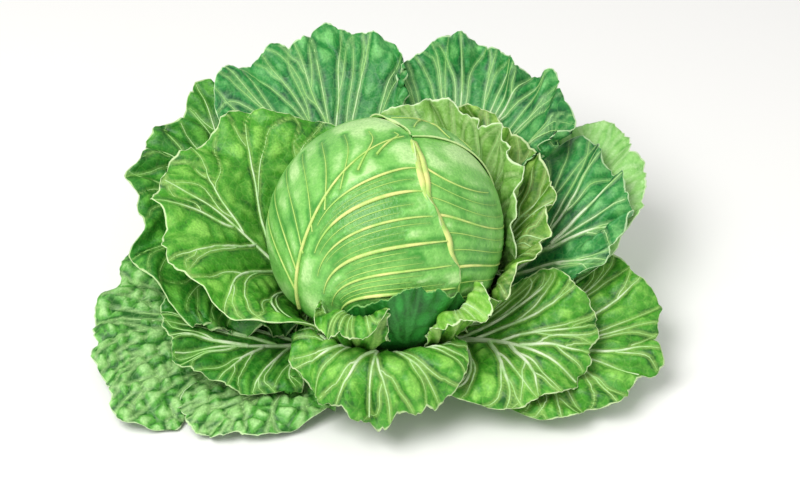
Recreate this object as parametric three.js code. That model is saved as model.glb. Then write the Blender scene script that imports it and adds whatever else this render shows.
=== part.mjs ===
// A round, tightly folded head of cabbage that stands on its short cut stalk, with the ruffled
// wrapper leaves it grew in still round it. Millimetres, +Z up. The origin is the centre of the
// flat cut face that it rests on, and -Y is the front, where the wrapper leaves droop lowest.
//
// Every leaf is one closed shell. Its blade is lofted from three ribs, one along each side and one
// along the middle. A rib runs from the stalk, under the head, and out to the leaf's margin.
import * as THREE from "three";
import { mergeVertices } from "three/addons/utils/BufferGeometryUtils.js";

// Driving dimensions
const STALK = { height: 28, cutRadius: 19, neckRadius: 16 };
const HEAD = { radius: 80, halfHeight: 76, centreZ: 101 };
const COVER = { gap: 1, thickness: 1.2 };
const LEAF = { baseThickness: 1.8, edgeThickness: 1.3, nearHandle: 0.3 };
// The leaves are layered under the head. `gap` is how far the innermost layer lies from the head
// and `start` the slope at which it leaves the stalk. Each next layer lies `step` further out and
// leaves the stalk `droop` degrees lower.
const LAYER = { gap: 4, step: 3, start: 14, droop: 3 };
const JOIN_GAP = 0.4;
const GRID = { along: 7, across: 10 };

// Angles are in degrees. A leaf's three ribs are [azimuth, reach from the stalk's axis, height] of
// their ends on the margin, with azimuth 0 at +X and 90 at the back. `lip` is each rib's slope at
// the margin, and `bend` how long the slope holds, as a share of the rib.
const LEAVES = [
  { name: "front_cup_leaf", layer: 1, ribs: [[-120, 88, 92], [-80, 86, 122], [-46, 90, 98]],
    lip: [60, 95, 60], bend: 0.45, colour: 0x1f6b33 },
  { name: "back_cup_leaf", layer: 1, ribs: [[-12, 92, 112], [42, 102, 144], [100, 120, 142]],
    lip: [60, 80, 70], bend: 0.45, colour: 0x8aa564 },
  { name: "left_cup_leaf", layer: 2, ribs: [[103, 122, 130], [168, 166, 118], [236, 104, 80]],
    lip: [50, 15, 10], bend: 0.4, colour: 0x58993a },
  { name: "right_cup_leaf", layer: 2, ribs: [[-38, 98, 92], [15, 122, 114], [74, 158, 136]],
    lip: [20, 40, 50], bend: 0.4, colour: 0x55762c },
  { name: "front_left_curl_leaf", layer: 2, ribs: [[-122, 104, 96], [-106, 110, 90], [-88, 102, 98]],
    lip: [-40, -60, -50], bend: 0.45, colour: 0x6cab4a },
  { name: "front_right_curl_leaf", layer: 2, ribs: [[-72, 100, 80], [-56, 108, 96], [-42, 102, 114]],
    lip: [-30, -20, 20], bend: 0.45, colour: 0x8fbf55 },
  { name: "back_left_leaf", layer: 3, ribs: [[82, 174, 164], [109, 187, 155], [140, 196, 138]],
    lip: [40, 40, 20], bend: 0.35, colour: 0x3f8f6c },
  { name: "front_leaf", layer: 3, ribs: [[-138, 106, 34], [-95, 117, 25], [-51, 113, 30]],
    lip: [-60, -75, -60], bend: 0.95, colour: 0x4f9b3c },
  { name: "back_right_leaf", layer: 4, ribs: [[33, 180, 142], [60, 186, 147], [88, 184, 164]],
    lip: [20, 40, 40], bend: 0.35, colour: 0x2f8650 },
  { name: "left_leaf", layer: 4, ribs: [[112, 190, 122], [146, 200, 122], [200, 168, 66]],
    lip: [20, 30, 20], bend: 0.35, colour: 0x1f6b3f },
  { name: "front_right_leaf", layer: 4, ribs: [[-72, 98, 28], [-30, 154, 34], [-2, 138, 82]],
    lip: [-50, -35, 10], bend: 0.4, colour: 0x3f8a3a },
  { name: "right_leaf", layer: 5, ribs: [[-8, 132, 58], [14, 180, 102], [50, 178, 100]],
    lip: [20, 20, 20], bend: 0.35, colour: 0x2f8a55 },
  { name: "front_left_leaf", layer: 5, ribs: [[178, 160, 62], [204, 160, 46], [230, 116, 18]],
    lip: [20, 5, -20], bend: 0.35, colour: 0x3c8d44 },
  { name: "right_back_outer_leaf", layer: 6, ribs: [[0, 148, 58], [24, 206, 98], [47, 206, 106]],
    lip: [20, 20, 20], bend: 0.35, colour: 0x7fb35c },
  { name: "back_outer_leaf", layer: 6, ribs: [[62, 168, 76], [95, 174, 78], [132, 166, 74]],
    lip: [10, 20, 20], bend: 0.35, colour: 0x3f8a5c },
  { name: "front_outer_leaf", layer: 6, ribs: [[205, 168, 18], [221, 160, 8], [250, 84, 10]],
    lip: [0, -20, -10], bend: 0.35, colour: 0x8cba66 },
  { name: "left_outer_leaf", layer: 7, ribs: [[146, 180, 58], [184, 210, 28], [214, 206, 4]],
    lip: [20, -10, -10], bend: 0.3, colour: 0x7fae63 },
  { name: "right_outer_leaf", layer: 7, ribs: [[-52, 119, 16], [-20, 194, 26], [12, 182, 68]],
    lip: [-20, -20, 15], bend: 0.35, colour: 0x3d8434 },
];

// How far a leaf's corners are rounded off, as a share of its length.
const CORNER = 0.15;
// A leaf is narrow where it leaves the stalk: its share of the full width there, and the share of
// its length by which it has all of it.
const FOOT = { share: 0.45, wideBy: 0.45 };
// Softness of the bend where a leaf comes to lie along the head.
const HUG_BLEND = 0.02;
// The step along a rib over which its direction is measured.
const TINY = 1e-3;

const radians = THREE.MathUtils.degToRad;
const smooth = (x) => THREE.MathUtils.smoothstep(x, 0, 1);

// The parabola through a at -1, b at 0 and c at 1.
const across = ([a, b, c], v) => (a * v * (v - 1)) / 2 + b * (1 - v * v) + (c * v * (v + 1)) / 2;

// The middle of a blade: u runs from the stalk to the margin, v from -1 to 1 across.
function bladePoint(leaf, u, v) {
  const [azimuths, reaches, heights] = [0, 1, 2].map((k) => leaf.ribs.map((rib) => rib[k]));
  const hug = LAYER.gap + LAYER.step * (leaf.layer - 1);
  const underHead = HEAD.centreZ - HEAD.halfHeight - hug;
  const foot = new THREE.Vector2(STALK.neckRadius + 2 + JOIN_GAP, underHead + 2);
  const end = new THREE.Vector2(across(reaches, v), across(heights, v));
  const start = radians(LAYER.start - LAYER.droop * (leaf.layer - 1));
  const lip = radians(across(leaf.lip, v));
  const near = LEAF.nearHandle * foot.distanceTo(end);
  const far = leaf.bend * foot.distanceTo(end);
  const rib = new THREE.CubicBezierCurve(
    foot,
    new THREE.Vector2(foot.x + near * Math.cos(start), foot.y + near * Math.sin(start)),
    new THREE.Vector2(end.x - far * Math.cos(lip), end.y - far * Math.sin(lip)),
    end,
  );
  const t = u * (1 - CORNER * Math.abs(v) ** 4 * u);
  const [behind, point, ahead] = [t - TINY, t, t + TINY].map((s) => clearOfHead(rib.getPoint(s), hug));
  const tangent = ahead.sub(behind).normalize();
  const share = FOOT.share + (1 - FOOT.share) * smooth(u / FOOT.wideBy);
  const azimuth = radians(THREE.MathUtils.lerp(azimuths[1], across(azimuths, v), share));
  return { point, tangent, azimuth };
}

// A point of a rib, (distance from the axis, height), pushed out to at least `hug` off the head.
function clearOfHead(point, hug) {
  const level = Math.hypot(point.x / (HEAD.radius + hug), (point.y - HEAD.centreZ) / (HEAD.halfHeight + hug));
  const pushed = (level + 1 + Math.hypot(level - 1, HUG_BLEND)) / 2 / level;
  return new THREE.Vector2(point.x * pushed, HEAD.centreZ + (point.y - HEAD.centreZ) * pushed);
}

// One side of a blade, `side` times half its thickness off the middle.
function bladeSurface(leaf, u, v, side) {
  const { point, tangent, azimuth } = bladePoint(leaf, u, v);
  const half = (side * THREE.MathUtils.lerp(LEAF.baseThickness, LEAF.edgeThickness, smooth(u * 2))) / 2;
  const radius = point.x - tangent.y * half;
  const height = point.y + tangent.x * half;
  return new THREE.Vector3(radius * Math.cos(azimuth), radius * Math.sin(azimuth), height);
}

// A closed shell from a function of (u, v, side), side 1 being the face that u cross v points out of.
function shell(surface, along, wide) {
  const positions = [];
  const index = [];
  const at = (side, i, j) => side * (along + 1) * (wide + 1) + i * (wide + 1) + j;
  for (const side of [1, -1])
    for (let i = 0; i <= along; i++)
      for (let j = 0; j <= wide; j++)
        positions.push(...surface(i / along, (2 * j) / wide - 1, side).toArray());
  const quad = (a, b, c, d) => index.push(a, b, c, a, c, d);
  for (let i = 0; i < along; i++)
    for (let j = 0; j < wide; j++) {
      quad(at(0, i, j), at(0, i + 1, j), at(0, i + 1, j + 1), at(0, i, j + 1));
      quad(at(1, i, j), at(1, i, j + 1), at(1, i + 1, j + 1), at(1, i + 1, j));
    }
  for (let i = 0; i < along; i++) {
    quad(at(0, i + 1, 0), at(0, i, 0), at(1, i, 0), at(1, i + 1, 0));
    quad(at(0, i, wide), at(0, i + 1, wide), at(1, i + 1, wide), at(1, i, wide));
  }
  for (let j = 0; j < wide; j++) {
    quad(at(0, 0, j), at(0, 0, j + 1), at(1, 0, j + 1), at(1, 0, j));
    quad(at(0, along, j + 1), at(0, along, j), at(1, along, j), at(1, along, j + 1));
  }
  const geometry = new THREE.BufferGeometry();
  geometry.setAttribute("position", new THREE.Float32BufferAttribute(positions, 3));
  geometry.setIndex(index);
  return mergeVertices(geometry, 1e-3);
}

function piece(name, geometry, colour, roughness) {
  const material = new THREE.MeshStandardMaterial({ color: colour, roughness, metalness: 0 });
  const mesh = new THREE.Mesh(geometry, material);
  mesh.name = name;
  return mesh;
}

function turned(outline, segments) {
  const geometry = new THREE.LatheGeometry(outline.map(([r, z]) => new THREE.Vector2(r, z)), segments);
  geometry.rotateX(Math.PI / 2);
  return geometry;
}

// The stalk, cut flat below and waisted where the leaves leave it.
function stalk() {
  const { height, cutRadius, neckRadius } = STALK;
  const outline = [[0, 0], [cutRadius - 1, 0], [cutRadius, 1.2], [cutRadius - 1, 3.5], [neckRadius, 5],
    [neckRadius, height - JOIN_GAP], [0, height - JOIN_GAP]];
  return piece("stalk", turned(outline, 24), 0xcfd69a, 0.6);
}

// The ball of folded leaves, flat where the stalk enters it.
function head() {
  const { radius, halfHeight, centreZ } = HEAD;
  const flat = Math.asin((centreZ - STALK.height) / halfHeight);
  const outline = [[0, STALK.height]];
  const steps = 16;
  for (let i = 0; i <= steps; i++) {
    const latitude = THREE.MathUtils.lerp(-flat, Math.PI / 2, i / steps);
    outline.push([i === steps ? 0 : radius * Math.cos(latitude), centreZ + halfHeight * Math.sin(latitude)]);
  }
  return piece("head", turned(outline, 36), 0x8cc56a, 0.45);
}

// A leaf folded over the head, from azimuth `from` round to `to` and from latitude `low` to `high`.
function headLeaf(name, { from, to, low, high, colour }) {
  const surface = (u, v, side) => {
    const latitude = radians(THREE.MathUtils.lerp(low, high, u));
    const azimuth = radians(THREE.MathUtils.lerp(from, to, (v + 1) / 2));
    const rise = COVER.gap + (side < 0 ? COVER.thickness : 0);
    const radius = (HEAD.radius + rise) * Math.cos(latitude);
    return new THREE.Vector3(radius * Math.cos(azimuth), radius * Math.sin(azimuth),
      HEAD.centreZ + (HEAD.halfHeight + rise) * Math.sin(latitude));
  };
  return piece(name, shell(surface, 9, 16), colour, 0.45);
}

const group = new THREE.Group();
group.add(stalk(), head());
group.add(headLeaf("left_head_leaf", { from: -236, to: -54, low: -30, high: 84, colour: 0x7dbd5e }));
group.add(headLeaf("back_head_leaf", { from: 20, to: 116, low: -30, high: 80, colour: 0x86c264 }));
for (const leaf of LEAVES) {
  const blade = (u, v, side) => bladeSurface(leaf, u, v, side);
  group.add(piece(leaf.name, shell(blade, GRID.along, GRID.across), leaf.colour, 0.5));
}

export default group;
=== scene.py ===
# %% [markdown]
# # A cabbage head in its wrapper leaves
# A cabbage is one short stalk with leaves set round it in a spiral. The youngest are folded into
# a tight ball, and the oldest lie open on the ground. Each leaf is the same thing: a thin blade
# stiffened by ribs that fork towards a frilled margin. So this scene has one rule for a leaf and
# grows all of them from it, in the places where the CAD model has its plain shells.

# %% Load the frame
import math

import bmesh
import bpy
import numpy as np
from mathutils.kdtree import KDTree
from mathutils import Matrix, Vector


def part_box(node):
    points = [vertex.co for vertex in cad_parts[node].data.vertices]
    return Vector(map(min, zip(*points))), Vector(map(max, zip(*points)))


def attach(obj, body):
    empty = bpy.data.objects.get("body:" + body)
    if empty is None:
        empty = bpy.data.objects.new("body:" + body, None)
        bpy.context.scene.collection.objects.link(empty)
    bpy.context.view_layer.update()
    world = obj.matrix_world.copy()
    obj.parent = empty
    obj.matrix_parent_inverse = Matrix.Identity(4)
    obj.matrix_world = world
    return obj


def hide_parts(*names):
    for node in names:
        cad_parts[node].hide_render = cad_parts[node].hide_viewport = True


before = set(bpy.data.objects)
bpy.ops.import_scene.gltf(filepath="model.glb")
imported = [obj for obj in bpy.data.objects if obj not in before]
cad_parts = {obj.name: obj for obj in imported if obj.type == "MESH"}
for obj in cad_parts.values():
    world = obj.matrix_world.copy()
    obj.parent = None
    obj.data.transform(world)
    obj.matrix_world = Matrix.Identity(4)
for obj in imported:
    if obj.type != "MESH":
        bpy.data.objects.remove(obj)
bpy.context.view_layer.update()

# %% [markdown]
# ## Camera, light and floor
# The camera looks down at the middle of the head at 38 degrees, with a lens long enough that near
# and far leaves keep their proportions. Light comes from one big soft panel on the left, a weaker
# one on the right and a pale surround, so that only the hollows between leaves go dark.

# %% Camera
MM = 0.001
HEAD_LOW, HEAD_HIGH = (np.array(corner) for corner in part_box("head"))
HEAD_RADIUS = (HEAD_HIGH[0] - HEAD_LOW[0]) / 2
HEAD_HALF_HEIGHT = 76 * MM
HEAD_CENTRE = np.array([0.0, 0.0, HEAD_HIGH[2] - HEAD_HALF_HEIGHT])
CAMERA_RISE = math.radians(38)
CAMERA_DISTANCE = 1.3
SENSOR = 36.0
LENS = 85.2
SHIFT = (0.01625, -0.0225)


def look_at(distance, azimuth, rise, target):
    """A place `distance` away from the target, with azimuth 0 in front of it."""
    flat = math.cos(rise) * distance
    return (
        target[0] + math.sin(azimuth) * flat,
        target[1] - math.cos(azimuth) * flat,
        target[2] + math.sin(rise) * distance,
    )


camera = bpy.data.objects.new("camera", bpy.data.cameras.new("camera"))
bpy.context.scene.collection.objects.link(camera)
camera.location = look_at(CAMERA_DISTANCE, 0, CAMERA_RISE, HEAD_CENTRE)
camera.rotation_euler = (math.pi / 2 - CAMERA_RISE, 0, 0)
camera.data.sensor_width = SENSOR
camera.data.lens = LENS
camera.data.shift_x, camera.data.shift_y = SHIFT
bpy.context.scene.camera = camera
print("camera at", [round(c, 3) for c in camera.location])


# %% Light and floor
def hex_colour(text):
    """An sRGB hex colour as linear red, green, blue and alpha."""
    channels = [int(text[i : i + 2], 16) / 255 for i in (1, 3, 5)]
    linear = [c / 12.92 if c <= 0.04045 else ((c + 0.055) / 1.055) ** 2.4 for c in channels]
    return (*linear, 1.0)


def soft_panel(name, azimuth, rise, distance, size, watts):
    """A square area light that faces the head."""
    data = bpy.data.lights.new(name, "AREA")
    data.shape = "SQUARE"
    data.size = size
    data.energy = watts
    panel = bpy.data.objects.new(name, data)
    bpy.context.scene.collection.objects.link(panel)
    azimuth, rise = math.radians(azimuth), math.radians(rise)
    panel.location = look_at(distance, azimuth, rise, HEAD_CENTRE)
    panel.rotation_euler = (math.pi / 2 - rise, 0, azimuth)


soft_panel("key", azimuth=-38, rise=56, distance=1.6, size=0.8, watts=22)
soft_panel("fill", azimuth=55, rise=40, distance=1.8, size=1.4, watts=3.5)

world = bpy.data.worlds.new("studio")
bpy.context.scene.world = world
world.use_nodes = True
world.node_tree.nodes["Background"].inputs["Color"].default_value = hex_colour("#ffffff")
world.node_tree.nodes["Background"].inputs["Strength"].default_value = 0.56
bpy.context.scene.view_settings.view_transform = "Standard"
bpy.context.scene.view_settings.look = "None"

FLOOR_HALF = 6.0
floor_mesh = bpy.data.meshes.new("floor")
floor_corners = [(x * FLOOR_HALF, y * FLOOR_HALF, 0) for x, y in ((-1, -1), (1, -1), (1, 1), (-1, 1))]
floor_mesh.from_pydata(floor_corners, [], [(0, 1, 2, 3)])
floor = bpy.data.objects.new("floor", floor_mesh)
bpy.context.scene.collection.objects.link(floor)
# Matt, slightly warm white paper, against which the greens read clean.
paper = bpy.data.materials.new("floor paper")
paper.use_nodes = True
paper.node_tree.nodes["Principled BSDF"].inputs["Base Color"].default_value = hex_colour("#fbfaf7")
paper.node_tree.nodes["Principled BSDF"].inputs["Roughness"].default_value = 0.9
floor_mesh.materials.append(paper)

# %% [markdown]
# ## The rule for one leaf
# A blade leaves the stalk under the head, turns up round it and flares out. Three ribs say where:
# one along each side and one along the middle, each a curve in its own upright plane. Between
# them the blade is blended by a parabola. The numbers are the CAD model's, in millimetres and
# degrees, so the fine leaf lies where its plain shell does.
#
# To each leaf is added what only the eye needs: how deep and how long the folds of its margin
# are, how far its outline is cut into lobes, how high it puckers between the ribs, how blistered
# it is, how bold its ribs look, and its greens.

# %% Leaf table
# In mm: where a blade leaves the stalk, how far above the underside of its layer, and the
# head's radius, half height and centre.
FOOT_RADIUS, FOOT_RISE = 18.4, 2
HEAD_RZ = (HEAD_RADIUS / MM, HEAD_HALF_HEIGHT / MM, HEAD_CENTRE[2] / MM)
# The first layer's gap to the head and the step to the next (mm), and its first slope and how
# much less steep each further layer starts (degrees).
LAYER = dict(gap=4, step=3, start=14, droop=3)
# As shares: the curve's first handle of its chord, and how much shorter an edge rib is.
NEAR_HANDLE, CORNER = 0.3, 0.15
# A blade's spread at the stalk as a share of its full one, and where along it that is reached.
FOOT_SHARE, WIDE_BY = 0.45, 0.45
# How gradually a blade is pushed clear of the head.
HUG_BLEND = 0.02

# Name, layer, three ribs as azimuth, reach and height, slopes of the lip at each, and bend, then
# fold height, fold length, lobes, pucker, blister, boldness of the ribs, and greens.
LEAVES = [
    # Its greens are a painted shade, for the hollow under the head that it stands in.
    ("front_cup_leaf", 1, [(-120, 88, 92), (-80, 86, 122), (-46, 90, 98)], (60, 95, 60), 0.45,
     1.2, 30, 0.03, 0.8, 0, 0.35, "shade"),
    ("back_cup_leaf", 1, [(-12, 92, 112), (42, 102, 144), (100, 120, 142)], (60, 80, 70), 0.45,
     4, 34, 0.05, 1.6, 0, 0.6, "olive"),
    ("left_cup_leaf", 2, [(103, 122, 130), (168, 166, 118), (236, 104, 80)], (50, 15, 10), 0.4,
     4.5, 48, 0.06, 2.2, 0, 1.0, "leaf"),
    ("right_cup_leaf", 2, [(-38, 98, 92), (15, 122, 114), (74, 158, 136)], (20, 40, 50), 0.4,
     5, 40, 0.05, 2.2, 0, 1.0, "moss"),
    ("front_left_curl_leaf", 2, [(-122, 104, 96), (-106, 110, 90), (-88, 102, 98)], (-40, -60, -50), 0.45,
     4, 58, 0.05, 1.6, 0, 0.8, "leaf"),
    ("front_right_curl_leaf", 2, [(-72, 100, 80), (-56, 108, 96), (-42, 102, 114)], (-30, -20, 20), 0.45,
     4, 58, 0.05, 1.6, 0, 0.8, "lime"),
    ("back_left_leaf", 3, [(82, 174, 164), (109, 187, 155), (140, 196, 138)], (40, 40, 20), 0.35,
     6, 50, 0.06, 2.2, 0, 0.8, "teal"),
    ("front_leaf", 3, [(-138, 106, 34), (-95, 117, 25), (-51, 113, 30)], (-60, -75, -60), 0.95,
     4, 40, 0.07, 2.4, 0, 1.3, "leaf"),
    ("back_right_leaf", 4, [(33, 180, 142), (60, 186, 147), (88, 184, 164)], (20, 40, 40), 0.35,
     8, 42, 0.06, 2.6, 0, 1.0, "teal"),
    ("left_leaf", 4, [(112, 190, 122), (146, 200, 122), (200, 168, 66)], (20, 30, 20), 0.35,
     6, 36, 0.08, 2.2, 0, 0.8, "deep"),
    ("front_right_leaf", 4, [(-72, 98, 28), (-30, 154, 34), (-2, 138, 82)], (-50, -35, 10), 0.4,
     4, 46, 0.05, 2.4, 0, 1.4, "leaf"),
    ("right_leaf", 5, [(-8, 132, 58), (14, 180, 102), (50, 178, 100)], (20, 20, 20), 0.35,
     6, 40, 0.05, 2.4, 0, 1.1, "teal"),
    ("front_left_leaf", 5, [(178, 160, 62), (204, 160, 46), (230, 116, 18)], (20, 5, -20), 0.35,
     4, 44, 0.06, 2.4, 0, 1.2, "deep"),
    ("right_back_outer_leaf", 6, [(0, 148, 58), (24, 206, 98), (47, 206, 106)], (20, 20, 20), 0.35,
     3, 60, 0.03, 1.0, 0, 0.5, "mist"),
    ("back_outer_leaf", 6, [(62, 168, 76), (95, 174, 78), (132, 166, 74)], (10, 20, 20), 0.35,
     5, 44, 0.07, 2.2, 0, 0.9, "leaf"),
    ("front_outer_leaf", 6, [(205, 168, 18), (221, 160, 8), (250, 84, 10)], (0, -20, -10), 0.35,
     2.5, 40, 0.05, 1.2, 2.4, 0.6, "pale"),
    ("left_outer_leaf", 7, [(146, 180, 58), (184, 210, 28), (214, 206, 4)], (20, -10, -10), 0.3,
     4, 44, 0.06, 1.2, 2.8, 0.6, "pale"),
    ("right_outer_leaf", 7, [(-52, 119, 16), (-20, 194, 26), (12, 182, 68)], (-20, -20, 15), 0.35,
     4, 46, 0.06, 2.4, 0, 1.2, "leaf"),
]
LEAF_KEYS = (
    "name", "layer", "ribs", "lips", "bend",
    "fold", "fold_length", "lobes", "pucker", "blister", "bold", "greens",
)
LEAVES = [dict(zip(LEAF_KEYS, row)) for row in LEAVES]
print(len(LEAVES), "open leaves")


# %% Blade surface
def smooth(x):
    """Rises from 0 to 1 with level ends."""
    x = np.clip(x, 0, 1)
    return x * x * (3 - 2 * x)


def across(three, v):
    """The parabola through three values at v = -1, 0 and 1."""
    a, b, c = three
    return a * v * (v - 1) / 2 + b * (1 - v * v) + c * v * (v + 1) / 2


def clear_of_head(radius, height, hug):
    """Push points of a rib out until they lie at least `hug` off the head."""
    wide, tall, centre = HEAD_RZ
    level = np.hypot(radius / (wide + hug), (height - centre) / (tall + hug))
    pushed = (level + 1 + np.hypot(level - 1, HUG_BLEND)) / 2
    return radius * pushed / level, centre + (height - centre) * pushed / level


def smooth_blade(leaf, u, v):
    """Points in millimetres of the blade before it is folded, at u along it and v across it."""
    azimuths, reaches, heights = zip(*leaf["ribs"])
    below = leaf["layer"] - 1
    hug = LAYER["gap"] + LAYER["step"] * below
    start = math.radians(LAYER["start"] - LAYER["droop"] * below)
    foot_z = HEAD_RZ[2] - HEAD_RZ[1] - hug + FOOT_RISE
    end_r, end_z = across(reaches, v), across(heights, v)
    lip = np.radians(across(leaf["lips"], v))
    chord = np.hypot(end_r - FOOT_RADIUS, end_z - foot_z)
    near, far = NEAR_HANDLE * chord, leaf["bend"] * chord
    t = u * (1 - (CORNER * np.abs(v) ** 4 + outline(leaf, u, v)) * u)
    weights = ((1 - t) ** 3, 3 * (1 - t) ** 2 * t, 3 * (1 - t) * t * t, t**3)
    radii = (FOOT_RADIUS, FOOT_RADIUS + near * math.cos(start), end_r - far * np.cos(lip), end_r)
    levels = (foot_z, foot_z + near * math.sin(start), end_z - far * np.sin(lip), end_z)
    radius = sum(w * r for w, r in zip(weights, radii))
    height = sum(w * z for w, z in zip(weights, levels))
    radius, height = clear_of_head(radius, height, hug)
    share = FOOT_SHARE + (1 - FOOT_SHARE) * smooth(u / WIDE_BY)
    v = v * (1 - side_notches(leaf, u, v))
    azimuth = np.radians(azimuths[1] + (across(azimuths, v) - azimuths[1]) * share)
    return np.stack([radius * np.cos(azimuth), radius * np.sin(azimuth), height], -1)


# Shares of a blade's length: where its rounded margin is centred, and the margin's radius.
ARC_CENTRE, ARC_RADIUS = 0.3, 0.62


def around(leaf, u, v):
    """How far round its margin a point of the blade lies, in millimetres from the tip."""
    s, w = u * leaf["length"], v * np.interp(u, leaf["rows"], leaf["half_widths"])
    return np.arctan2(w, s - ARC_CENTRE * leaf["length"]) * ARC_RADIUS * leaf["length"]


def waves(leaf, at, *lengths):
    """Sums of sine waves of these lengths, with phases of the leaf's own."""
    total = 0
    for k, length in enumerate(lengths):
        total = total + np.sin(2 * np.pi * at / length + leaf["phases"][k]) / len(lengths)
    return total


def scallops(leaf, at, length):
    """Rounded lobes with sharp notches between them, 0 at the tip of a lobe and 1 in a notch."""
    drift = 1.3 * waves(leaf, at, length * 3.7, length * 6.1)
    return 1 - np.abs(np.sin(np.pi * at / length + drift + leaf["phases"][5]))


# Depth and length in mm of the scallops round the tip, and of the teeth on them.
SCALLOPS = ((1.6, 11), (3.2, 27))
TEETH = dict(depth=0.5, lengths=(4.6, 3.1))


def outline(leaf, u, v):
    """The share of its length that the blade falls short by, so that its margin is lobed."""
    if "length" not in leaf:
        return 0
    at = around(leaf, u, v)
    fine = sum(depth * scallops(leaf, at, length) for depth, length in SCALLOPS)
    fine = fine + TEETH["depth"] * waves(leaf, at, *TEETH["lengths"])
    return leaf["lobes"] * (0.3 + 0.5 * waves(leaf, at, 78, 41)) + fine / leaf["length"]


# Depth and lengths in mm of the waves and scallops along the sides, and how far (mm) each side's
# waves are moved along it, so that the two sides differ.
SIDE_WAVE = dict(depth=3.2, lengths=(37, 21))
SIDE_SCALLOP = (0.8, 9)
SIDE_SHIFT = 60


def side_notches(leaf, u, v):
    """The share of its half width that the blade falls short by along its sides."""
    if "length" not in leaf:
        return 0
    at = u * leaf["length"] + SIDE_SHIFT * np.sign(v)
    depth = SIDE_WAVE["depth"] * (1 + waves(leaf, at, *SIDE_WAVE["lengths"]))
    depth = depth + SIDE_SCALLOP[0] * scallops(leaf, at, SIDE_SCALLOP[1])
    return np.abs(v) ** 4 * depth * u / np.interp(u, leaf["rows"], leaf["half_widths"])


def edge_distance(leaf, u, v):
    """Millimetres from a point of the blade to its margin."""
    ahead = (1 - u) * leaf["length"]
    aside = (1 - np.abs(v)) * np.interp(u, leaf["rows"], leaf["half_widths"])
    return np.minimum(ahead, aside)


# Folds start this far (mm) in from the margin, and only past this share of the blade's length.
# Their two waves level each other out, so the table's heights are raised by a factor.
FOLD_REACH, FLAT_FOOT, FOLD_GAIN = 46, 0.35, 1.5
FRILL = dict(height=1.5, lengths=(15, 9), reach=11)


def folded_blade(leaf, u, v):
    """The blade's middle with its folds and frill, and its upward directions."""
    e = 1e-3
    along = smooth_blade(leaf, u + e, v) - smooth_blade(leaf, u - e, v)
    wide = smooth_blade(leaf, u, v + e) - smooth_blade(leaf, u, v - e)
    up = np.cross(along, wide)
    up /= np.linalg.norm(up, axis=-1, keepdims=True)
    edge, at = edge_distance(leaf, u, v), around(leaf, u, v)
    length = leaf["fold_length"]
    folds = waves(leaf, at + 0.4 * edge, length, length * 0.57)
    lift = FOLD_GAIN * leaf["fold"] * smooth(1 - edge / FOLD_REACH) ** 1.5 * folds
    lift = lift + FRILL["height"] * smooth(1 - edge / FRILL["reach"]) * waves(leaf, at, *FRILL["lengths"])
    ahead = smooth(u / FLAT_FOOT)
    return smooth_blade(leaf, u, v) + up * (lift * ahead)[..., None], up


def measure(leaf, seed):
    """Give a leaf its length, its half width at each row and its own phases."""
    rows, columns = np.linspace(0, 1, 25), np.linspace(-1, 1, 31)
    grid = smooth_blade(leaf, *np.meshgrid(rows, columns, indexing="ij"))
    steps = np.linalg.norm(np.diff(grid, axis=1), axis=-1).sum(1)
    length = np.linalg.norm(np.diff(grid[:, len(columns) // 2], axis=0), axis=-1).sum()
    phases = np.random.default_rng(seed).uniform(0, 2 * np.pi, 6)
    leaf.update(rows=rows, half_widths=steps / 2, length=length, phases=phases, seed=seed)
    print(f"{leaf['name']}: {length:.0f} mm long, {steps.max():.0f} mm across where it is widest")


for number, leaf in enumerate(LEAVES):
    measure(leaf, 40 + number)

# %% [markdown]
# ## Ribs
# The ribs are the leaf's plumbing. One midrib runs up the blade, side ribs leave it in turn and
# curve out to the margin, and each may fork up to three times on the way. They are laid out on the
# blade's own two directions, so they follow every fold, and each keeps a list of its radii.


# %% Rib paths
# Side ribs are about this far apart (mm). A fork leaves at a share of its rib, and spreads by the
# second number, in the blade's own two directions.
RIB_SPACING = 31
FORKS = ((0.3, 0.17), (0.5, -0.15), (0.7, 0.09))


def rib_paths(leaf, steps=24):
    """Paths (u, v, radius in mm) of the midrib, the side ribs and their forks."""
    rng = np.random.default_rng(leaf["seed"] + 500)
    t = np.linspace(0, 1, steps)
    bold = leaf["bold"]
    widest = 2 * leaf["half_widths"].max()
    pairs = int(np.clip(round(min(leaf["length"], widest) / RIB_SPACING), 2, 5))
    forks = FORKS[: max(1, pairs - 2)]
    paths = [(0.985 * t, 0.03 * np.sin(5 * t), bold * (0.5 + 2.3 * (1 - t) ** 1.6))]
    for side in (-1, 1):
        for k in range(pairs):
            f = (k + 0.5 + 0.25 * side + rng.uniform(-0.2, 0.2)) / pairs
            strong = bold * rng.uniform(0.7, 1.35)
            leave = 0.05 + 0.66 * f
            end_u = min(0.995, 0.5 + 1.35 * f)
            end_v = side * min(0.985, 1.5 * (1 - f) + 0.06) * rng.uniform(0.94, 1)
            wander = 0.06 * np.sin(t * rng.uniform(5, 9) + rng.uniform(0, 6)) * t
            path_u = leave + (end_u - leave) * t**1.25
            path_v = end_v * t**0.85 + wander * (1 - t)
            taper = 1 - 0.6 * t**6
            paths.append((path_u, path_v, strong * taper * (0.42 + 0.7 * (1 - t) ** 0.8)))
            on_top = end_u > 0.9
            for fork_at, spread in forks:
                fork_at += rng.uniform(-0.08, 0.08)
                spread *= rng.uniform(0.6, 1.5)
                tail = np.clip((t - fork_at) / (1 - fork_at), 0, 1)
                veer = spread * (tail**1.3 + 0.12 * np.sin(tail * rng.uniform(4, 8)))
                fork_u = path_u + (0 if on_top else 1) * veer * side
                fork_v = path_v + (1 if on_top else 0.2) * veer
                inside = (t >= fork_at) & (np.abs(fork_v) < 0.995) & (fork_u < 0.997)
                if inside.sum() > 3 and rng.random() < 0.8:
                    thick = strong * taper * (0.32 + 0.45 * (1 - tail) * (1 - fork_at))
                    paths.append((fork_u[inside], fork_v[inside], thick[inside]))
    return paths
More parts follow.
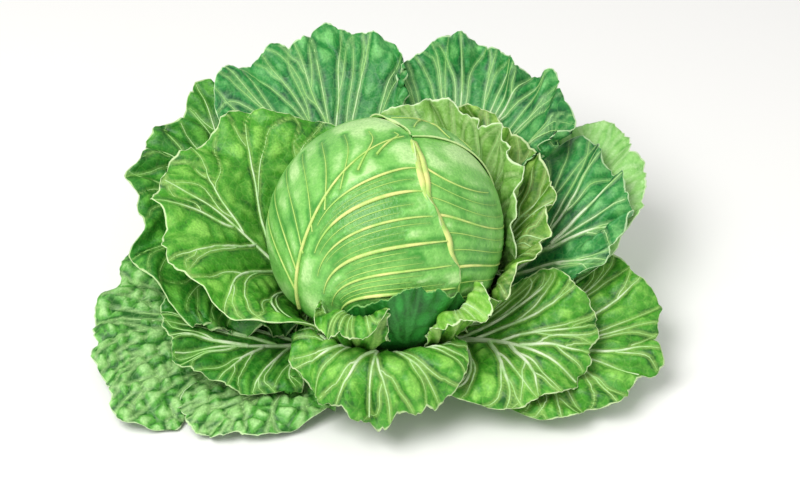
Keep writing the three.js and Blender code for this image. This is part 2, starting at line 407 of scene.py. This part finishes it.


# %% [markdown]
# ## Blades from a rule
# Each leaf starts as a blank: a closed shell, with both faces and a rim, and the rib paths as
# loose edges beside it. Every point of the shell carries its distance to the nearest rib and to
# the margin. A node tree then finishes it. It lets the blade swell between the ribs and lie low
# along them, raises the blisters of the oldest leaves, and sweeps a round section along every
# rib path, as thick as that path says.


# %% A node with its settings and links
def add(tree, kind, inputs=None, **settings):
    """Add a node. An input is a value, a socket, or a node, which stands for its first output."""
    made = tree.nodes.new(kind)
    for key, value in settings.items():
        setattr(made, key, value)
    for socket, value in (inputs or {}).items():
        if isinstance(value, bpy.types.Node):
            value = next(output for output in value.outputs if output.enabled)
        if isinstance(value, bpy.types.NodeSocket):
            tree.links.new(value, made.inputs[socket])
        else:
            made.inputs[socket].default_value = value
    return made


# %% The leaf tree
def leaf_tree():
    tree = bpy.data.node_groups.new("leaf", "GeometryNodeTree")
    tree.interface.new_socket("Geometry", in_out="OUTPUT", socket_type="NodeSocketGeometry")
    tree.interface.new_socket("Geometry", in_out="INPUT", socket_type="NodeSocketGeometry")
    for name in ("Pucker height", "Pucker reach", "Swell size", "Blister height", "Blister size"):
        tree.interface.new_socket(name, in_out="INPUT", socket_type="NodeSocketFloat")
    for name in ("Blade", "Rib"):
        tree.interface.new_socket(name, in_out="INPUT", socket_type="NodeSocketMaterial")
    given = add(tree, "NodeGroupInput").outputs
    radius, from_rib, from_edge = (
        add(tree, "GeometryNodeInputNamedAttribute", {"Name": name}, data_type="FLOAT")
        for name in ("rib_radius", "rib_distance", "edge_distance")
    )
    up = add(tree, "GeometryNodeInputNamedAttribute", {"Name": "up"}, data_type="FLOAT_VECTOR")
    is_rib = add(tree, "ShaderNodeMath", {0: radius, 1: 0.0}, operation="GREATER_THAN")
    ribs = add(tree, "GeometryNodeSeparateGeometry", {"Geometry": given["Geometry"], "Selection": is_rib})

    # Pads with soft furrows between them, of two sizes, from places that stray by a few mm.
    place = add(tree, "GeometryNodeInputPosition")
    stray = add(tree, "ShaderNodeTexNoise", {"Vector": place, "Scale": 1 / 0.016, "Detail": 1.0})
    stray = add(tree, "ShaderNodeVectorMath", {0: stray.outputs["Color"], "Scale": 0.007}, operation="SCALE")
    place = add(tree, "ShaderNodeVectorMath", {0: place, 1: stray}, operation="ADD")
    pads = []
    for size in ("Swell size", "Blister size"):
        scale = add(tree, "ShaderNodeMath", {0: 1.0, 1: given[size]}, operation="DIVIDE")
        cells = add(tree, "ShaderNodeTexVoronoi", {"Vector": place, "Scale": scale},
                    feature="DISTANCE_TO_EDGE")
        pad = add(tree, "ShaderNodeMapRange", {"Value": cells, "From Max": 0.3},
                  interpolation_type="SMOOTHSTEP")
        pads.append(pad)
    # The blade lies low along its ribs, swells between them and keeps its margin flat.
    valley = add(tree, "ShaderNodeMapRange", {"Value": from_rib, "From Max": given["Pucker reach"]},
                 interpolation_type="SMOOTHSTEP")
    quilt = add(tree, "ShaderNodeMapRange", {"Value": pads[0], "To Min": 0.4})
    pucker = add(tree, "ShaderNodeMath", {0: valley, 1: quilt}, operation="MULTIPLY")
    pucker = add(tree, "ShaderNodeMath", {0: pucker, 1: given["Pucker height"]}, operation="MULTIPLY")
    blister = add(tree, "ShaderNodeMath", {0: pads[1], 1: given["Blister height"]}, operation="MULTIPLY")
    rise = add(tree, "ShaderNodeMath", {0: pucker, 1: blister}, operation="ADD")
    highest = add(tree, "ShaderNodeMath", {0: given["Pucker height"], 1: given["Blister height"]},
                  operation="ADD")
    relief = add(tree, "ShaderNodeMath", {0: rise, 1: highest}, operation="DIVIDE")
    by_edge = add(tree, "ShaderNodeMapRange", {"Value": from_edge, "From Max": 0.009},
                  interpolation_type="SMOOTHSTEP")
    rise = add(tree, "ShaderNodeMath", {0: rise, 1: by_edge}, operation="MULTIPLY")
    offset = add(tree, "ShaderNodeVectorMath", {0: up, "Scale": rise}, operation="SCALE")
    # The relief is kept for the green, which paints light on the swells and shade in the furrows.
    blade = add(tree, "GeometryNodeStoreNamedAttribute",
                {"Geometry": ribs.outputs["Inverted"], "Name": "relief", "Value": relief}, data_type="FLOAT")
    blade = add(tree, "GeometryNodeSetPosition", {"Geometry": blade, "Offset": offset})

    # Every rib path becomes a round tube, as thick as its points say.
    paths = add(tree, "GeometryNodeMeshToCurve", {"Mesh": ribs.outputs["Selection"]})
    section = add(tree, "GeometryNodeCurvePrimitiveCircle", {"Resolution": 5, "Radius": 1.0})
    tubes = add(tree, "GeometryNodeCurveToMesh",
                {"Curve": paths, "Profile Curve": section, "Scale": radius, "Fill Caps": True})

    whole = add(tree, "GeometryNodeJoinGeometry", {"Geometry": blade})
    tree.links.new(tubes.outputs[0], whole.inputs[0])
    whole = add(tree, "GeometryNodeSetShadeSmooth", {"Geometry": whole})
    whole = add(tree, "GeometryNodeRealizeInstances", {"Geometry": whole})
    whole = add(tree, "GeometryNodeSetMaterial", {"Geometry": whole, "Material": given["Blade"]})
    whole = add(tree, "GeometryNodeSetMaterial",
                {"Geometry": whole, "Selection": is_rib, "Material": given["Rib"]})
    add(tree, "NodeGroupOutput", {"Geometry": whole})
    return tree


LEAF_TREE = leaf_tree()
print("leaf tree:", len(LEAF_TREE.nodes), "nodes")


# %% Blanks: a closed shell and its rib paths
def shell_faces(rows, columns):
    """Quads of two sheets of points and of the rim between them."""
    i, j = np.meshgrid(np.arange(rows - 1), np.arange(columns - 1), indexing="ij")
    a = (i * columns + j).ravel()
    upper = np.stack([a, a + columns, a + columns + 1, a + 1], 1)
    lower = upper[:, ::-1] + rows * columns
    loop = np.concatenate([
        np.arange(columns - 1), np.arange(rows - 1) * columns + columns - 1,
        np.arange(rows * columns - 1, (rows - 1) * columns, -1), np.arange(rows - 1, 0, -1) * columns,
    ])
    after = np.roll(loop, -1)
    rim = np.stack([loop, after, after + rows * columns, loop + rows * columns], 1)
    return np.concatenate([upper, lower, rim])


def shell(points, up, half):
    """Both faces of a blade, `half` mm off its middle, as flat lists of points and of directions."""
    points, up, half = points.reshape(-1, 3), up.reshape(-1, 3), half.reshape(-1, 1)
    return np.concatenate([points + up * half, points - up * half]), np.concatenate([up, up])


# Rib paths are resampled this much finer to measure distances to them, and a rib's side is taken
# to lie at this share of its radius.
FINER, RIB_SIDE = 4, 0.8


def blank(name, points, up, edge, faces, paths):
    """A mesh with rib paths [(points, radii)] beside it, and their attributes. Lengths are in mm."""
    finer = [np.linspace(0, len(path) - 1, FINER * len(path)) for path, _ in paths]
    close = [
        np.stack([np.interp(at, np.arange(len(path)), column) for column in (*path.T, radii)], -1)
        for at, (path, radii) in zip(finer, paths)
    ]
    close = np.concatenate(close)
    tree = KDTree(len(close))
    for at, row in enumerate(close):
        tree.insert(row[:3], at)
    tree.balance()
    near = np.empty(len(points))
    for at, point in enumerate(points):
        _, nearest, distance = tree.find(point)
        near[at] = max(0.0, distance - RIB_SIDE * close[nearest, 3])
    rib_points = np.concatenate([path for path, _ in paths])
    rib_radii = np.concatenate([radii for _, radii in paths])
    edges, first = [], len(points)
    for path, _ in paths:
        edges += [(first + k, first + k + 1) for k in range(len(path) - 1)]
        first += len(path)
    mesh = bpy.data.meshes.new(name)
    mesh.from_pydata((np.concatenate([points, rib_points]) * MM).tolist(), edges, faces)
    none = np.zeros(len(rib_points))
    values = {
        "rib_radius": np.concatenate([np.zeros(len(points)), rib_radii]),
        "rib_distance": np.concatenate([near, none]),
        "edge_distance": np.concatenate([edge, none]),
    }
    for key, value in values.items():
        attribute = mesh.attributes.new(key, "FLOAT", "POINT")
        attribute.data.foreach_set("value", (value * MM).astype(np.float32))
    ups = np.concatenate([up, np.zeros((len(rib_points), 3))]).astype(np.float32)
    mesh.attributes.new("up", "FLOAT_VECTOR", "POINT").data.foreach_set("vector", ups.ravel())
    return mesh


def grow(name, mesh, node, blade, rib, **sizes):
    """Run the leaf tree on a blank, and make a plain piece of it that stands for a CAD node."""
    seedling = bpy.data.objects.new(name, mesh)
    bpy.context.scene.collection.objects.link(seedling)
    modifier = seedling.modifiers.new("leaf", "NODES")
    modifier.node_group = LEAF_TREE
    inputs = [item for item in LEAF_TREE.interface.items_tree if item.in_out == "INPUT"]
    sockets = {item.name: item.identifier for item in inputs}
    for key, value in {**sizes, "Blade": blade, "Rib": rib}.items():
        modifier[sockets[key]] = value
    evaluated = seedling.evaluated_get(bpy.context.evaluated_depsgraph_get())
    grown = bpy.data.meshes.new_from_object(evaluated)
    seedling.modifiers.clear()
    seedling.data = grown
    grown.name = name
    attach(seedling, "root")
    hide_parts(node)
    print(f"{name}: {len(grown.polygons)} faces")
    return seedling


# %% [markdown]
# ## Fresh leaf
# A cabbage blade is green where it is thick with chlorophyll and yellower along the ribs, where
# the tissue is stretched thin. A skin of wax makes it satin, and some leaves are bluer than
# others. The margin is a thin pale line. So the colour comes from four things: cloudy patches,
# how far the blade swells, which paints light on the swells and shade in the furrows, the
# distance to the nearest rib, and the distance to the margin, which also paints shade deep inside
# the leaf.

# %% Greens
# Dark (painted shade in the furrows and deep inside a leaf, and dark patches and grain), main, light
# (painted light on the swells, and light patches), beside the ribs, margin.
GREENS = {
    # The front cup leaf stands in the hollow under the head: its greens are a painted shade, darkened as the
    # shade it lies in.
    "shade": ("#0a4a0c", "#17701c", "#309636", "#44a446", "#84bc66"),
    "deep": ("#124c0c", "#2c801c", "#66b63e", "#8ecc5a", "#c4e29e"),
    "leaf": ("#165c0c", "#4a9e24", "#90d456", "#b2e070", "#d8f0b2"),
    "moss": ("#2c5e0e", "#5a9424", "#a4d060", "#c0dc7c", "#dcf0b4"),
    "olive": ("#568c32", "#88bc58", "#c4e89a", "#d2eca2", "#e0f4c4"),
    "teal": ("#0c562a", "#2e903e", "#7ccc72", "#a4e088", "#d0f2b8"),
    "lime": ("#42841c", "#7cbe3e", "#b8e67a", "#cef090", "#e2f6c0"),
    "pale": ("#1c6016", "#5cac3e", "#aee48c", "#bae894", "#d2eeb4"),
    "mist": ("#62aa44", "#94d070", "#c4eea4", "#ccf0ac", "#daf4c0"),
    "head": ("#3c9030", "#80c65e", "#c2ec9c", "#d4ec94", "#def2aa"),
}


def fresh_leaf(
    name, greens, patch=0.02, net=0.0065, net_strength=0.14,
    relief_shading=0.55, halo=0.6, inner_painted_shade=0.42, gloss=0.48,
):
    """A leaf blade, satin and cloudy. It has patches of size `patch` and finest veins `net` apart
    (m). `relief_shading` is how far painted light on its swells and painted shade in its furrows, rather
    than the patches, set its green, `halo` how yellow it is beside its ribs, and `inner_painted_shade` how
    much painted shade darkens it away from its margin, deep inside the leaf."""
    dark, main, light, beside, margin = (hex_colour(text) for text in greens)
    material = bpy.data.materials.new(name)
    material.use_nodes = True
    tree = material.node_tree
    shader = tree.nodes["Principled BSDF"]
    place = add(tree, "ShaderNodeTexCoord").outputs["Object"]
    from_rib, from_edge, relief = (
        add(tree, "ShaderNodeAttribute", attribute_name=key).outputs["Fac"]
        for key in ("rib_distance", "edge_distance", "relief")
    )
    cloud = add(tree, "ShaderNodeTexNoise",
                {"Vector": place, "Scale": 1 / patch, "Detail": 4.0, "Roughness": 0.7})
    patches = add(tree, "ShaderNodeMapRange", {"Value": cloud, "From Min": 0.32, "From Max": 0.68})
    # Painted light and shade: lighter where the blade swells, darker in its furrows, mixed with the cloudy
    # patches.
    tone = add(tree, "ShaderNodeMix", {0: relief_shading, 2: patches, 3: relief}, data_type="FLOAT")
    green = dark
    for low, high, colour in ((0.14, 0.46, main), (0.44, 0.86, light)):
        share = add(tree, "ShaderNodeMapRange", {"Value": tone, "From Min": low, "From Max": high},
                    interpolation_type="SMOOTHSTEP")
        green = add(tree, "ShaderNodeMix", {0: share, 6: green, 7: colour}, data_type="RGBA")
    # Painted shade: darker deep inside the leaf, away from its margin, towards the hollow of the rosette.
    share = add(tree, "ShaderNodeMapRange",
                {"Value": from_edge, "From Min": 0.02, "From Max": 0.085, "To Max": inner_painted_shade})
    green = add(tree, "ShaderNodeMix", {0: share, 6: green, 7: dark}, data_type="RGBA")
    # The finest veins, a net of pale lines.
    veinlets = add(tree, "ShaderNodeTexVoronoi", {"Vector": place, "Scale": 1 / net},
                   feature="DISTANCE_TO_EDGE")
    share = add(tree, "ShaderNodeMapRange",
                {"Value": veinlets, "From Max": 0.1, "To Min": net_strength, "To Max": 0.0})
    green = add(tree, "ShaderNodeMix", {0: share, 6: green, 7: beside}, data_type="RGBA")
    # Yellower within 2.2 mm of a rib.
    share = add(tree, "ShaderNodeMapRange",
                {"Value": from_rib, "From Min": 0.0003, "From Max": 0.0022, "To Min": halo, "To Max": 0.0})
    green = add(tree, "ShaderNodeMix", {0: share, 6: green, 7: beside}, data_type="RGBA")
    # Grain of 1.6 mm, like the cells that hold the green.
    grain = add(tree, "ShaderNodeTexNoise", {"Vector": place, "Scale": 1 / 0.0016, "Detail": 2.0})
    share = add(tree, "ShaderNodeMapRange",
                {"Value": grain, "From Min": 0.35, "From Max": 0.65, "To Max": 0.28})
    green = add(tree, "ShaderNodeMix", {0: share, 6: green, 7: dark}, data_type="RGBA")
    # A pale rim that comes and goes, at most 1.3 mm wide.
    rim = add(tree, "ShaderNodeTexNoise", {"Vector": place, "Scale": 1 / 0.009, "Detail": 1.0})
    rim = add(tree, "ShaderNodeMapRange",
              {"Value": rim, "From Min": 0.35, "From Max": 0.65, "To Min": 0.0001, "To Max": 0.0013})
    share = add(tree, "ShaderNodeMath", {0: from_edge, 1: rim}, operation="DIVIDE")
    share = add(tree, "ShaderNodeMapRange",
                {"Value": share, "From Min": 0.6, "From Max": 1.2, "To Min": 0.85, "To Max": 0.0})
    green = add(tree, "ShaderNodeMix", {0: share, 6: green, 7: margin}, data_type="RGBA")
    tree.links.new(green.outputs[2], shader.inputs["Base Color"])
    wax = add(tree, "ShaderNodeMapRange",
              {"Value": cloud, "From Min": 0.3, "From Max": 0.7,
               "To Min": gloss - 0.06, "To Max": gloss + 0.1})
    tree.links.new(wax.outputs["Result"], shader.inputs["Roughness"])
    height = add(tree, "ShaderNodeMath", {0: veinlets, 1: grain}, operation="ADD")
    bump = add(tree, "ShaderNodeBump", {"Strength": 0.6, "Distance": 0.0007, "Height": height})
    tree.links.new(bump.outputs["Normal"], shader.inputs["Normal"])
    shader.inputs["IOR"].default_value = 1.42
    shader.inputs["Coat Weight"].default_value = 0.06
    shader.inputs["Coat Roughness"].default_value = 0.35
    return material


def leaf_rib(name, colour, shade):
    """A rib: pale, watery tissue that looks wet, greener in places and where it is thin."""
    material = bpy.data.materials.new(name)
    material.use_nodes = True
    tree = material.node_tree
    shader = tree.nodes["Principled BSDF"]
    place = add(tree, "ShaderNodeTexCoord").outputs["Object"]
    cloud = add(tree, "ShaderNodeTexNoise", {"Vector": place, "Scale": 1 / 0.012, "Detail": 3.0})
    thick = add(tree, "ShaderNodeAttribute", attribute_name="rib_radius").outputs["Fac"]
    thick = add(tree, "ShaderNodeMapRange", {"Value": thick, "From Min": 0.0002, "From Max": 0.001})
    patches = add(tree, "ShaderNodeMapRange", {"Value": cloud, "From Min": 0.35, "From Max": 0.6})
    share = add(tree, "ShaderNodeMath", {0: thick, 1: patches}, operation="MULTIPLY")
    green = add(tree, "ShaderNodeMix",
                {0: share, 6: hex_colour(shade), 7: hex_colour(colour)}, data_type="RGBA")
    tree.links.new(green.outputs[2], shader.inputs["Base Color"])
    shader.inputs["Roughness"].default_value = 0.4
    shader.inputs["IOR"].default_value = 1.4
    return material


BLADES = {key: fresh_leaf("leaf " + key, GREENS[key]) for key in GREENS if key not in ("pale", "head")}
# The oldest leaves take painted light on every blister and painted shade between them.
BLADES["pale"] = fresh_leaf("blistered leaf", GREENS["pale"], relief_shading=0.85)
# The folded leaves are smoother and shinier, with painted highlights on their swells and painted shade in
# their furrows, and no painted shade deep inside: as light inside as at their margins.
BLADES["head"] = fresh_leaf(
    "head leaf", GREENS["head"], patch=0.03, net_strength=0.04,
    relief_shading=0.62, halo=0.15, inner_painted_shade=0.0, gloss=0.36,
)
RIB = leaf_rib("leaf rib", "#e6f4d0", "#a2d67c")
HEAD_RIB = leaf_rib("head rib", "#dfe48c", "#a8d468")
print("leaf materials:", ", ".join(BLADES))

# %% [markdown]
# ## The open leaves
# With the rule, the ribs, the tree and the greens in place, the open leaves are grown one by one
# from the table. Blades are thickest at the stalk.

# %% Grow the open leaves
ROWS, COLUMNS = ((86, 112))
# A rib's axis lies this share of its radius above the blade's face.
RIB_PROUD = 0.2
# Pads seldom reach their full height, so the table's heights are raised by these factors.
PUCKER_GAIN, BLISTER_GAIN = 1.3, 1.2
PAD_SIZES = {"Pucker reach": 0.0055, "Swell size": 0.017, "Blister size": 0.0115}


def half_thickness(u):
    """Half a blade's thickness in millimetres, at u along it."""
    return 0.9 - 0.5 * smooth(u * 1.6)


def grow_leaf(leaf):
    """Fold the blade, lay its ribs on it and grow it."""
    u, v = np.meshgrid(np.linspace(0, 1, ROWS), np.linspace(-1, 1, COLUMNS), indexing="ij")
    points, up = folded_blade(leaf, u, v)
    paths = []
    for path_u, path_v, radii in rib_paths(leaf):
        path, direction = folded_blade(leaf, path_u, path_v)
        paths.append((path + direction * (half_thickness(path_u) + RIB_PROUD * radii)[:, None], radii))
    edge = np.tile(edge_distance(leaf, u, v).ravel(), 2)
    both_faces = shell(points, up, half_thickness(u))
    mesh = blank(leaf["name"], *both_faces, edge, shell_faces(*u.shape).tolist(), paths)
    sizes = dict(PAD_SIZES)
    sizes["Pucker height"] = PUCKER_GAIN * leaf["pucker"] * MM
    sizes["Blister height"] = BLISTER_GAIN * leaf["blister"] * MM
    return grow("blade_" + leaf["name"], mesh, leaf["name"], BLADES[leaf["greens"]], RIB, **sizes)


for leaf in LEAVES:
    grow_leaf(leaf)

# %% [markdown]
# ## The head
# The head is a ball of leaves folded over one another. Only the outermost show. One covers the
# left from the stalk to the crown, with its midrib up its left side and side ribs that sweep
# round to its margin. Its margin lies along the straight, bold midrib of the leaf below it,
# which covers the right. A third closes the back.

# %% Points on the ball
CROWN_TILT, CROWN_AZIMUTH = math.radians(12), math.radians(20)


def on_ball(azimuth, latitude, rise=0.0):
    """Points (mm) on the ball, in degrees about its tilted crown, `rise` mm off it."""
    a, b = np.radians(azimuth), np.radians(latitude)
    x, y, z = np.cos(b) * np.cos(a), np.cos(b) * np.sin(a), np.sin(b)
    ca, sa = math.cos(CROWN_AZIMUTH), math.sin(CROWN_AZIMUTH)
    ct, st = math.cos(CROWN_TILT), math.sin(CROWN_TILT)
    along, aside = x * ca + y * sa, -x * sa + y * ca
    along, z = along * ct + z * st, z * ct - along * st
    x, y = along * ca - aside * sa, along * sa + aside * ca
    wide, tall, centre = HEAD_RZ
    points = np.stack([x * (wide + rise), y * (wide + rise), centre + z * (tall + rise)], -1)
    up = np.stack([x / wide, y / wide, z / tall], -1)
    return points, up / np.linalg.norm(up, axis=-1, keepdims=True)


def bend(handles, steps=40):
    """A smooth path of azimuths and latitudes through four handles."""
    t = np.linspace(0, 1, steps)[:, None]
    a, b, c, d = (np.array(handle, float) for handle in handles)
    path = (1 - t) ** 3 * a + 3 * (1 - t) ** 2 * t * b + 3 * (1 - t) * t * t * c + t**3 * d
    return path[:, 0], path[:, 1]


# %% The right-hand leaf's midrib and its side ribs
def midrib_azimuth(latitude):
    """It runs straight up the ball's right front and leans over to the left at the crown."""
    return -57 - 25 * smooth((np.asarray(latitude) - 10) / 70)


def right_ribs():
    """The bold midrib, which splays near the crown, and side ribs that droop round the right."""
    latitude = np.linspace(-20, 86, 60)
    paths = []
    for splay, thick in ((0, 3.2), (11, 2.6), (-8, 2.2)):
        azimuth = midrib_azimuth(latitude) + splay * smooth((latitude - 44) / 34)
        azimuth = azimuth + 0.9 * np.sin(latitude / 5) + 0.5 * np.sin(latitude / 2.3)
        taper = 0.55 + 0.45 * smooth((latitude + 20) / 80)
        paths.append((on_ball(azimuth, latitude, 0.2)[0], thick * taper))
    for start in range(0, 80, 9):
        middle = float(midrib_azimuth(start))
        bold = 1.2 if start % 27 == 18 else 0.45
        route = bend([(middle, start), (middle + 18, start - 1), (middle + 30, start - 11),
                      (middle + 70, start - 30)])
        paths.append((on_ball(*route, 0.1)[0], bold * np.linspace(1, 0.3, len(route[0]))))
    return paths


# %% The ball
# A distance in mm at which the leaf tree and the leaf's green no longer take note of a margin.
FAR_FROM_EDGE = 50.0


def head_ball():
    """The ball under the folded leaves, flat below, with the right-hand leaf's ribs on it."""
    tool = bmesh.new()
    bmesh.ops.create_icosphere(tool, subdivisions=6, radius=1)
    round_points = np.array([vertex.co for vertex in tool.verts])
    faces = [[vertex.index for vertex in face.verts] for face in tool.faces]
    tool.free()
    wide, tall, centre = HEAD_RZ
    points = round_points * (wide, wide, tall) + (0, 0, centre)
    points[:, 2] = np.maximum(points[:, 2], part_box("head")[0][2] / MM)
    up = round_points / (wide, wide, tall)
    up /= np.linalg.norm(up, axis=1, keepdims=True)
    edge = np.full(len(points), FAR_FROM_EDGE)
    return blank("head_ball", points, up, edge, faces, right_ribs())


HEAD_SIZES = {"Pucker height": 0.9 * MM, "Pucker reach": 0.0055, "Swell size": 0.045,
              "Blister height": 0.0, "Blister size": 0.02}
grow("ball", head_ball(), "head", BLADES["head"], HEAD_RIB, **HEAD_SIZES)


# %% The leaves folded over the ball
# In mm: half a folded leaf's thickness, how far its middle and its ribs lie off the ball, how far
# its free margin lifts, and the ball's rounded radius.
FOLDED_HALF, FOLDED_LIFT, FOLDED_RIBS, FREE_LIFT, BALL_RADIUS = 0.55, 1.8, 2.4, 1.5, 80
# The latitude at which folded leaves end, just short of the crown.
FOLDED_TOP = 89.3


def head_leaf(name, node, right, left, low, paths, seed):
    """A leaf over the ball from azimuth `left` round to `right`, with rib paths in degrees."""
    u, v = np.meshgrid(np.linspace(0, 1, ROWS + 20), np.linspace(-1, 1, COLUMNS + 40), indexing="ij")
    p1, p2, p3 = np.random.default_rng(seed).uniform(0, 6, 3)
    latitude = low + (FOLDED_TOP - low) * u
    ragged = 1.6 * np.sin(latitude / 6 + p1) + 1.0 * np.sin(latitude / 2.6 + p2)
    ragged = ragged + 0.5 * np.sin(latitude / 1.2 + p3)
    across_all = right(latitude) + ragged * (1 - u) - left
    lift = FOLDED_LIFT + FREE_LIFT * smooth((v - 0.94) / 0.06) * (0.3 + np.sin(latitude / 5 + p3))
    points, up = on_ball(left + across_all * (v + 1) / 2, latitude, lift)
    narrowing = np.cos(np.radians(np.minimum(latitude, 80)))
    edge = (1 - np.abs(v)) * np.radians(across_all) / 2 * BALL_RADIUS * narrowing
    laid = [(on_ball(*route, FOLDED_RIBS + 0.3 * radii)[0], radii) for route, radii in paths]
    both_faces = shell(points, up, np.full_like(u, FOLDED_HALF))
    mesh = blank(name, *both_faces, np.tile(edge.ravel(), 2), shell_faces(*u.shape).tolist(), laid)
    return grow(name, mesh, node, BLADES["head"], HEAD_RIB, **HEAD_SIZES)


# Every fourth sweeping rib is bold, and the others are short and fine.
SWEEPING_RIBS = 25


def sweeping_rib(share):
    """A rib from near the stalk up and round to the margin: share 0 is the lowest, 1 the highest."""
    foot = -105 - 30 * share
    start = -16 + 40 * share**2
    end = -4 + 72 * share
    margin = float(midrib_azimuth(end))
    handles = [(foot, start), (foot - 2, start + 0.6 * (end - start) + 4),
               (foot + 0.5 * (margin - foot), end + 1), (margin - 1, end)]
    return bend(handles, 60)


def left_ribs():
    """The midrib up the left, the ribs that sweep to the margin, and fine ones between them."""
    rng = np.random.default_rng(21)
    paths = [(bend([(-136, -28), (-136, 20), (-142, 50), (-155, 86)], 60), np.linspace(1.6, 0.5, 60))]
    for k in range(SWEEPING_RIBS):
        azimuth, latitude = sweeping_rib(k / (SWEEPING_RIBS - 1))
        first, last = int(rng.uniform(4, 26)), int(rng.uniform(40, 58))
        if k % 4 == 0:
            bold = 1.4 if k % 8 == 4 else 0.95
            paths.append(((azimuth, latitude), bold * (0.15 + 0.85 * np.sin(np.linspace(0.1, 2.9, 60)))))
        else:
            thick = rng.uniform(0.22, 0.42) * np.sin(np.linspace(0.3, 2.9, last - first))
            paths.append(((azimuth[first:last], latitude[first:last]), thick))
    for start in range(-16, 70, 12):
        route = bend([(-136, start), (-148, start + 14), (-164, start + 19), (-190, start + 14)], 40)
        paths.append((route, rng.uniform(0.4, 1.0) * np.linspace(1.0, 0.3, 40)))
    return paths


head_leaf(
    "left_folded_leaf", "left_head_leaf", right=midrib_azimuth, left=-236, low=-30, paths=left_ribs(), seed=3
)


def back_margin(latitude):
    """The back leaf's right-hand margin runs straight up."""
    return np.full_like(latitude, 116.0)


def back_ribs():
    """A straight midrib and regular pairs of side ribs."""
    paths = [(bend([(70, -28), (70, 20), (72, 50), (80, 80)], 50), np.linspace(1.8, 0.6, 50))]
    for start in range(-15, 70, 17):
        for side in (-1, 1):
            route = bend([(70, start), (70 + 14 * side, start + 12), (70 + 26 * side, start + 16),
                          (70 + 42 * side, start + 14)], 30)
            paths.append((route, np.linspace(0.9, 0.4, 30)))
    return paths


head_leaf(
    "back_folded_leaf", "back_head_leaf", right=back_margin, left=22, low=-30, paths=back_ribs(), seed=5
)

# %% [markdown]
# ## The stalk
# Under the leaves the stalk is cut flat with a knife. It is turned here as a plain stem, a little
# out of round, with a soft edge round the cut.


# %% Stalk
# Shares of the stalk's radius and height, from the middle of the cut face up.
STALK_PROFILE = [
    (0.0, 0.0), (0.6, 0.0), (0.93, 0.0), (0.99, 0.02), (1.0, 0.05), (0.97, 0.11),
    (0.9, 0.16), (0.85, 0.22), (0.845, 0.5), (0.845, 0.98), (0.8, 1.0), (0.0, 1.0),
]
OUT_OF_ROUND = 0.012


def stalk():
    low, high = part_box("stalk")
    radius = (high[0] - low[0]) / 2
    sections = 64
    tool = bmesh.new()
    rings = []
    for r, z in STALK_PROFILE:
        ring = []
        height = low[2] + z * (high[2] - low[2])
        for k in range(sections if r else 1):
            a = 2 * math.pi * k / sections
            wobble = 1 + OUT_OF_ROUND * math.sin(5 * a) * min(1.0, r)
            reach = r * radius * wobble
            ring.append(tool.verts.new((reach * math.cos(a), reach * math.sin(a), height)))
        rings.append(ring)
    for lower, upper in zip(rings, rings[1:]):
        for k in range(sections):
            n = (k + 1) % sections
            # A ring of one point, on the axis, gives triangles.
            below = [lower[k % len(lower)], lower[n % len(lower)]]
            above = [upper[n % len(upper)], upper[k % len(upper)]]
            corners = list(dict.fromkeys(below + above))
            if len(corners) > 2:
                tool.faces.new(corners)
    bmesh.ops.recalc_face_normals(tool, faces=tool.faces)
    mesh = bpy.data.meshes.new("stalk")
    tool.to_mesh(mesh)
    tool.free()
    mesh.polygons.foreach_set("use_smooth", [True] * len(mesh.polygons))
    piece = bpy.data.objects.new("cut_stalk", mesh)
    bpy.context.scene.collection.objects.link(piece)
    # The same watery tissue as a rib, yellower.
    mesh.materials.append(leaf_rib("stalk", "#dfe3b4", "#b9c98a"))
    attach(piece, "root")
    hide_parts("stalk")


stalk()
